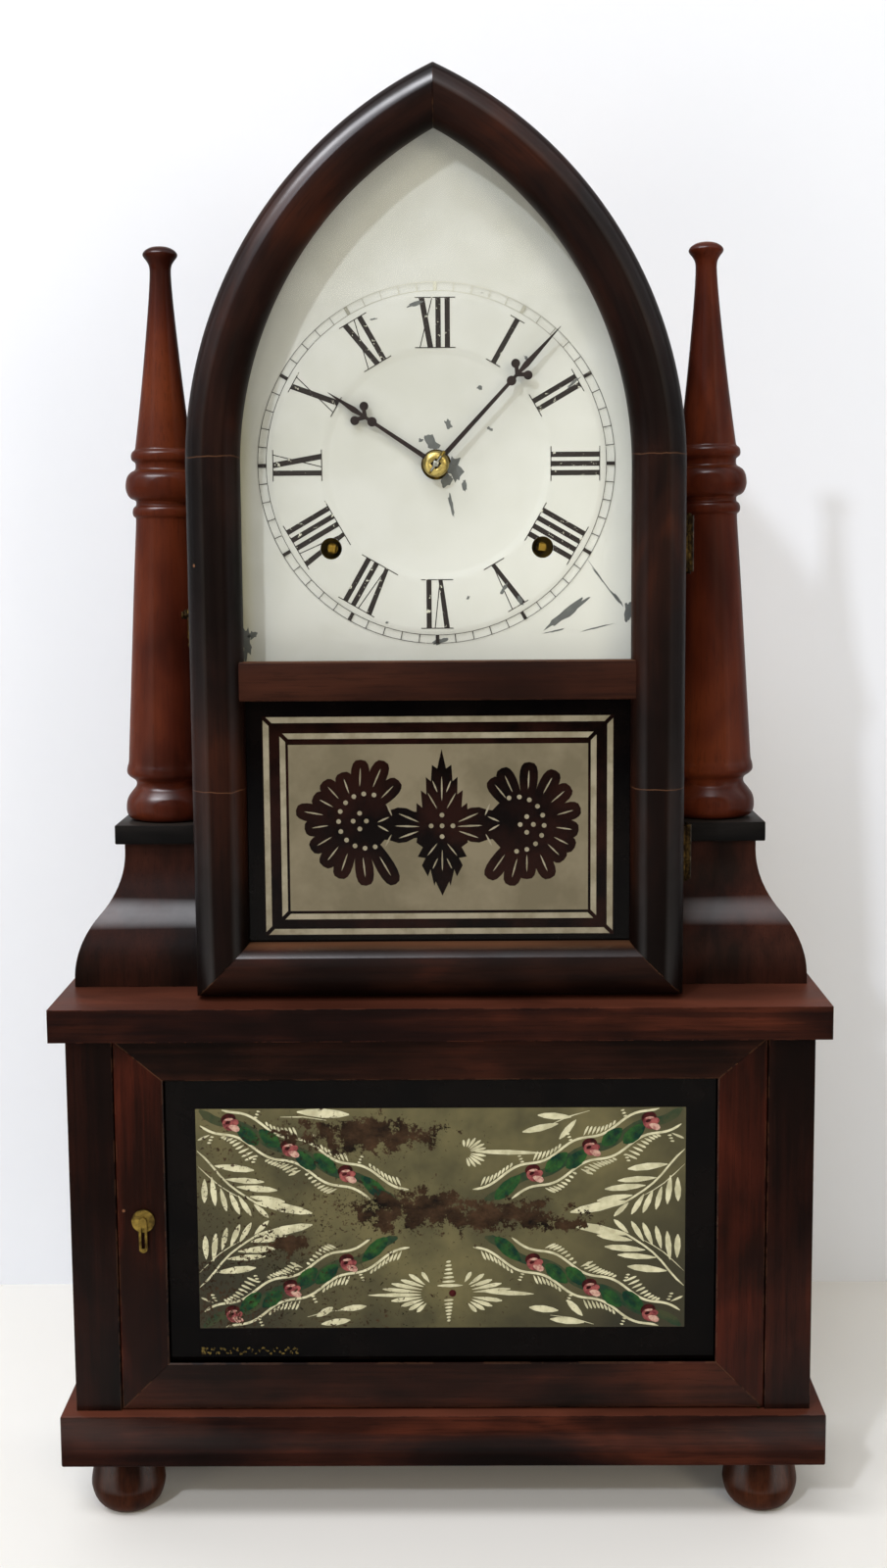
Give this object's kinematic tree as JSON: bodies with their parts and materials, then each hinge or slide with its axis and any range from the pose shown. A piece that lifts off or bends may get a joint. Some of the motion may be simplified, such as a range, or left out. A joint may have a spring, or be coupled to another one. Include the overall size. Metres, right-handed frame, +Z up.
{
  "type": "shelf clock",
  "caption": "Wooden shelf clock with a pointed glazed case, turned side finials, shoulders, a glazed box base, a pendulum movement and a leaf-spring drive.",
  "frame": {"origin": "centre of the plinth's footprint at table height, under the feet", "axes": "+X to the clock's right seen from the front, -Y out of the dial, +Z up"},
  "size_m": [0.352, 0.118, 0.66],
  "materials": {
    "dark_mahogany": "old shellac, satin",
    "red_mahogany": "old shellac, satin",
    "ebonised_wood": "black stain under shellac",
    "finial_wood": "turned and shellacked",
    "pine": "bare, aged",
    "dial_paint": "white paint on zinc, worn",
    "clear_glass": "old sheet glass",
    "black_silver_glass": "glass painted and leafed on its back",
    "painted_glass": "glass painted on its back",
    "old_brass": "tarnished",
    "movement_brass": "lacquered, aged",
    "bright_brass": "polished",
    "steel": "bright, light rust",
    "hand_steel": "blued, darkened",
    "gong_steel": "blued coil on an iron base",
    "spring_steel": "dark, oiled",
    "iron": "black paint",
    "cord": "waxed gut cord"
  },
  "bodies": {
    "case": {"feet": "dark_mahogany", "plinth": "dark_mahogany", "base_sides": "dark_mahogany", "base_backboard": "pine", "waist_board": "red_mahogany", "shoulders": "dark_mahogany", "corner_blocks": "ebonised_wood", "finials": "finial_wood", "lancet_case": "dark_mahogany", "lancet_backboard": "pine", "case_blocks": "pine", "dial": "dial_paint", "case_brasses": "old_brass", "front_plate": "movement_brass", "back_plate": "movement_brass", "plate_pillars": "steel", "gong": "gong_steel", "leaf_spring": "spring_steel", "spring_saddle": "iron", "shaft_brackets": "iron", "drive_cords": "cord"},
    "lancet_door": {"lancet_door_left_moulding": "dark_mahogany", "lancet_door_right_moulding": "dark_mahogany", "lancet_door_bottom_rail": "dark_mahogany", "lancet_door_cross_bar": "dark_mahogany", "dial_glass": "clear_glass", "stencilled_glass": "black_silver_glass", "lancet_door_brasses": "old_brass"},
    "lancet_hook": {"lancet_hook": "old_brass"},
    "base_door": {"base_door_stiles": "red_mahogany", "base_door_rails": "dark_mahogany", "painted_glass": "painted_glass"},
    "base_door_latch": {"base_door_latch": "old_brass"},
    "minute_hand": {"minute_arbor": "steel", "minute_hand": "hand_steel", "hand_collet": "bright_brass"},
    "minute_wheel": {"minute_wheel": "movement_brass"},
    "hour_hand": {"hour_wheel": "movement_brass", "hour_hand": "hand_steel"},
    "time_drum": {"time_drum": "movement_brass"},
    "time_great_wheel": {"time_great_wheel": "movement_brass"},
    "time_second_arbor": {"time_second_arbor": "movement_brass"},
    "centre_wheel": {"centre_wheel": "movement_brass"},
    "third_arbor": {"third_arbor": "movement_brass"},
    "escape_wheel": {"escape_wheel": "movement_brass"},
    "verge": {"verge": "steel"},
    "pendulum": {"pendulum_rod": "steel", "pendulum_bob": "bright_brass"},
    "strike_drum": {"strike_drum": "movement_brass"},
    "strike_great_wheel": {"strike_great_wheel": "movement_brass"},
    "strike_second_arbor": {"strike_second_arbor": "movement_brass"},
    "strike_third_arbor": {"strike_third_arbor": "movement_brass"},
    "fly": {"fly": "movement_brass"},
    "hammer": {"hammer": "steel"},
    "time_shaft": {"time_shaft": "iron"},
    "strike_shaft": {"strike_shaft": "iron"},
    "time_link": {"time_link": "steel"},
    "strike_link": {"strike_link": "steel"},
    "time_shackle": {"time_shackle": "steel"},
    "strike_shackle": {"strike_shackle": "steel"}
  },
  "joints": [
    {"name": "lancet_door_hinge", "type": "hinge", "parent": "case", "child": "lancet_door", "pos_m": [0.1134, -0.02725, 0.3828], "axis": [0, 0, 1], "range_deg": [0, 110]},
    {"name": "hook_pivot", "type": "hinge", "parent": "case", "child": "lancet_hook", "pos_m": [-0.113, -0.021, 0.4223], "axis": [-1, 0, 0], "range_deg": [0, 90]},
    {"name": "base_door_pivot", "type": "hinge", "parent": "case", "child": "base_door", "pos_m": [0.14602, -0.0515, 0.1442], "axis": [0, 0, 1], "range_deg": [0, 105]},
    {"name": "latch_turn", "type": "hinge", "parent": "base_door", "child": "base_door_latch", "pos_m": [-0.13598, -0.045, 0.1475], "axis": [0, 1, 0], "range_deg": [0, 90]},
    {"name": "minute_hand_turn", "type": "hinge", "parent": "case", "child": "minute_hand", "pos_m": [0, 0.017, 0.489], "axis": [0, 1, 0], "continuous": true},
    {"name": "minute_wheel_turn", "type": "hinge", "parent": "case", "child": "minute_wheel", "pos_m": [-0.00848, -0.006, 0.49749], "axis": [0, 1, 0], "continuous": true},
    {"name": "hour_hand_turn", "type": "hinge", "parent": "case", "child": "hour_hand", "pos_m": [0, -0.012, 0.489], "axis": [0, 1, 0], "continuous": true},
    {"name": "time_winding", "type": "hinge", "parent": "case", "child": "time_drum", "pos_m": [0.048, 0.017, 0.4516], "axis": [0, 1, 0], "range_deg": [-170, 0]},
    {"name": "time_great_wheel_turn", "type": "hinge", "parent": "case", "child": "time_great_wheel", "pos_m": [0.048, 0.017, 0.4516], "axis": [0, 1, 0], "continuous": true},
    {"name": "time_second_turn", "type": "hinge", "parent": "case", "child": "time_second_arbor", "pos_m": [0.02692, 0.017, 0.47594], "axis": [0, 1, 0], "continuous": true},
    {"name": "centre_wheel_turn", "type": "hinge", "parent": "case", "child": "centre_wheel", "pos_m": [0, 0.017, 0.489], "axis": [0, 1, 0], "continuous": true},
    {"name": "third_turn", "type": "hinge", "parent": "case", "child": "third_arbor", "pos_m": [-0.004, 0.017, 0.46737], "axis": [0, 1, 0], "continuous": true},
    {"name": "escape_turn", "type": "hinge", "parent": "case", "child": "escape_wheel", "pos_m": [0, 0.017, 0.45005], "axis": [0, 1, 0], "continuous": true},
    {"name": "verge_rock", "type": "hinge", "parent": "case", "child": "verge", "pos_m": [0, -0.003, 0.47005], "axis": [0, 1, 0], "range_deg": [-4, 4]},
    {"name": "pendulum_swing", "type": "hinge", "parent": "case", "child": "pendulum", "pos_m": [0, -0.009, 0.47505], "axis": [0, 1, 0], "range_deg": [-4, 4]},
    {"name": "strike_winding", "type": "hinge", "parent": "case", "child": "strike_drum", "pos_m": [-0.048, 0.017, 0.4516], "axis": [0, -1, 0], "range_deg": [-170, 0]},
    {"name": "strike_great_wheel_turn", "type": "hinge", "parent": "case", "child": "strike_great_wheel", "pos_m": [-0.048, 0.017, 0.4516], "axis": [0, 1, 0], "continuous": true},
    {"name": "strike_second_turn", "type": "hinge", "parent": "case", "child": "strike_second_arbor", "pos_m": [-0.04241, 0.017, 0.48331], "axis": [0, 1, 0], "continuous": true},
    {"name": "strike_third_turn", "type": "hinge", "parent": "case", "child": "strike_third_arbor", "pos_m": [-0.0275, 0.017, 0.50461], "axis": [0, 1, 0], "continuous": true},
    {"name": "fly_turn", "type": "hinge", "parent": "case", "child": "fly", "pos_m": [-0.01925, 0.017, 0.5189], "axis": [0, 1, 0], "continuous": true},
    {"name": "hammer_swing", "type": "hinge", "parent": "case", "child": "hammer", "pos_m": [-0.074, 0.017, 0.486], "axis": [0, 1, 0], "range_deg": [0, 10], "stiffness_Nm_per_rad": 0.02, "springref_deg": -17.19},
    {"name": "time_shaft_turn", "type": "hinge", "parent": "case", "child": "time_shaft", "pos_m": [0.085, 0.015, 0.095], "axis": [0, 1, 0], "range_deg": [0, 60], "stiffness_Nm_per_rad": 0.1, "springref_deg": -17.19},
    {"name": "strike_shaft_turn", "type": "hinge", "parent": "case", "child": "strike_shaft", "pos_m": [-0.085, 0.015, 0.095], "axis": [0, -1, 0], "range_deg": [0, 60], "stiffness_Nm_per_rad": 0.1, "springref_deg": -17.19},
    {"name": "time_link_pin", "type": "hinge", "parent": "time_shaft", "child": "time_link", "pos_m": [0.09886, -0.016, 0.103], "axis": [0, 1, 0], "range_deg": [-61, 0]},
    {"name": "strike_link_pin", "type": "hinge", "parent": "strike_shaft", "child": "strike_link", "pos_m": [-0.09886, -0.016, 0.103], "axis": [0, -1, 0], "range_deg": [-61, 0]},
    {"name": "time_leaf_tip", "type": "hinge", "parent": "case", "child": "time_shackle", "pos_m": [0.034, -0.016, 0.124], "axis": [0, 1, 0], "range_deg": [0, 14], "deforming": ["leaf_spring"]},
    {"name": "strike_leaf_tip", "type": "hinge", "parent": "case", "child": "strike_shackle", "pos_m": [-0.034, -0.016, 0.124], "axis": [0, -1, 0], "range_deg": [0, 14], "deforming": ["leaf_spring"]}
  ],
  "couplings": [
    {"joint": "minute_wheel_turn", "follows": "minute_hand_turn", "ratio": -0.33333},
    {"joint": "hour_hand_turn", "follows": "minute_hand_turn", "ratio": 0.083333},
    {"joint": "third_turn", "follows": "escape_turn", "ratio": -0.097222},
    {"joint": "centre_wheel_turn", "follows": "escape_turn", "ratio": 0.0097222},
    {"joint": "time_second_turn", "follows": "escape_turn", "ratio": -0.00097222},
    {"joint": "time_great_wheel_turn", "follows": "escape_turn", "ratio": 0.000092593},
    {"joint": "verge_rock", "follows": "pendulum_swing", "ratio": 1},
    {"joint": "strike_third_turn", "follows": "fly_turn", "ratio": -0.1},
    {"joint": "strike_second_turn", "follows": "fly_turn", "ratio": 0.011111},
    {"joint": "strike_great_wheel_turn", "follows": "fly_turn", "ratio": -0.0010582},
    {"joint": "time_winding", "follows": "time_shaft_turn", "ratio": -2.7755},
    {"joint": "time_link_pin", "follows": "time_shaft_turn", "ratio": -1},
    {"joint": "time_leaf_tip", "follows": "time_shaft_turn", "ratio": 0.2298},
    {"joint": "strike_winding", "follows": "strike_shaft_turn", "ratio": -2.7755},
    {"joint": "strike_link_pin", "follows": "strike_shaft_turn", "ratio": -1},
    {"joint": "strike_leaf_tip", "follows": "strike_shaft_turn", "ratio": 0.2298}
  ]
}
